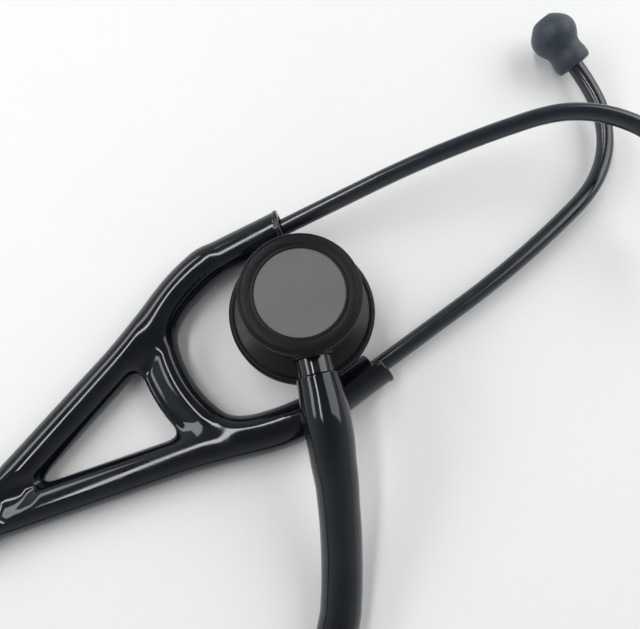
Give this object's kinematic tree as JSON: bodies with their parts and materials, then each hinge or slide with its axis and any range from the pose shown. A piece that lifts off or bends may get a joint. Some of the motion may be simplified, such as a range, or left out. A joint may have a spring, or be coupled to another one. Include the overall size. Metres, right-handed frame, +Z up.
{
  "type": "stethoscope",
  "caption": "Dual-head stethoscope lying flat: turning double-sided chestpiece, looped hose, moulded yoke with a leaf spring, sprung ear tubes and pull-off ear tips.",
  "frame": {"origin": "on the table, under the middle of the headset and chestpiece without the free hose", "axes": "+X along the headset from the yoke's stub to the ear tips, +Z up from the table"},
  "size_m": [0.3462, 0.1535, 0.0417],
  "materials": {
    "soft_tubing": "gloss",
    "spring_steel": "brushed",
    "black_metal": "satin",
    "seal_rubber": "matte",
    "dot_paint": "matte",
    "rim_plastic": "satin",
    "adult_film": "satin",
    "pediatric_film": "matte",
    "detent_steel": "polished",
    "anodised_tube": "satin anodised",
    "insert_plastic": "matte",
    "tip_silicone": "matte"
  },
  "bodies": {
    "headset": {"yoke": "soft_tubing", "leaf_spring": "spring_steel", "main_tube": "soft_tubing", "stem": "black_metal", "stem_o_rings": "seal_rubber", "stem_clip": "spring_steel", "index_dot": "dot_paint"},
    "head": {"chestpiece_body": "black_metal", "adult_surround": "rim_plastic", "pediatric_surround": "rim_plastic", "detent_ball": "detent_steel", "detent_spring": "detent_steel", "detent_screw": "detent_steel"},
    "adult_face": {"adult_diaphragm": "adult_film"},
    "pediatric_face": {"pediatric_diaphragm": "pediatric_film"},
    "left_binaural": {"left_sleeve": "soft_tubing", "left_ear_tube": "anodised_tube", "left_spring_leg": "spring_steel"},
    "right_binaural": {"right_sleeve": "soft_tubing", "right_ear_tube": "anodised_tube", "right_spring_leg": "spring_steel"},
    "left_tip": {"left_tip_insert": "insert_plastic", "left_ear_tip": "tip_silicone"},
    "right_tip": {"right_tip_insert": "insert_plastic", "right_ear_tip": "tip_silicone"}
  },
  "joints": [
    {"name": "head_turn", "type": "hinge", "parent": "headset", "child": "head", "pos_m": [-0.001, 0.0076, 0.0274], "axis": [-0.3746, -0.9272, 0], "continuous": true},
    {"name": "adult_press", "type": "slide", "parent": "head", "child": "adult_face", "axis": [0, 0, 1], "range_m": [0, 0.0004], "stiffness_N_per_m": 3000},
    {"name": "pediatric_press", "type": "slide", "parent": "head", "child": "pediatric_face", "axis": [0, 0, -1], "range_m": [0, 0.0003], "stiffness_N_per_m": 3000},
    {"name": "left_swing", "type": "hinge", "parent": "headset", "child": "left_binaural", "pos_m": [-0.02195, 0.04271, 0.0062], "axis": [0, 0, 1], "range_deg": [0, 48], "stiffness_Nm_per_rad": 0.3},
    {"name": "right_swing", "type": "hinge", "parent": "headset", "child": "right_binaural", "pos_m": [-0.02195, -0.02091, 0.0062], "axis": [0, 0, -1], "range_deg": [0, 36], "stiffness_Nm_per_rad": 0.3},
    {"name": "left_tip_pull", "type": "slide", "parent": "left_binaural", "child": "left_tip", "axis": [-0.193, -0.9812, -0.0029], "range_m": [0, 0.009]},
    {"name": "right_tip_pull", "type": "slide", "parent": "right_binaural", "child": "right_tip", "axis": [-0.0532, 0.976, 0.2112], "range_m": [0, 0.009]}
  ]
}
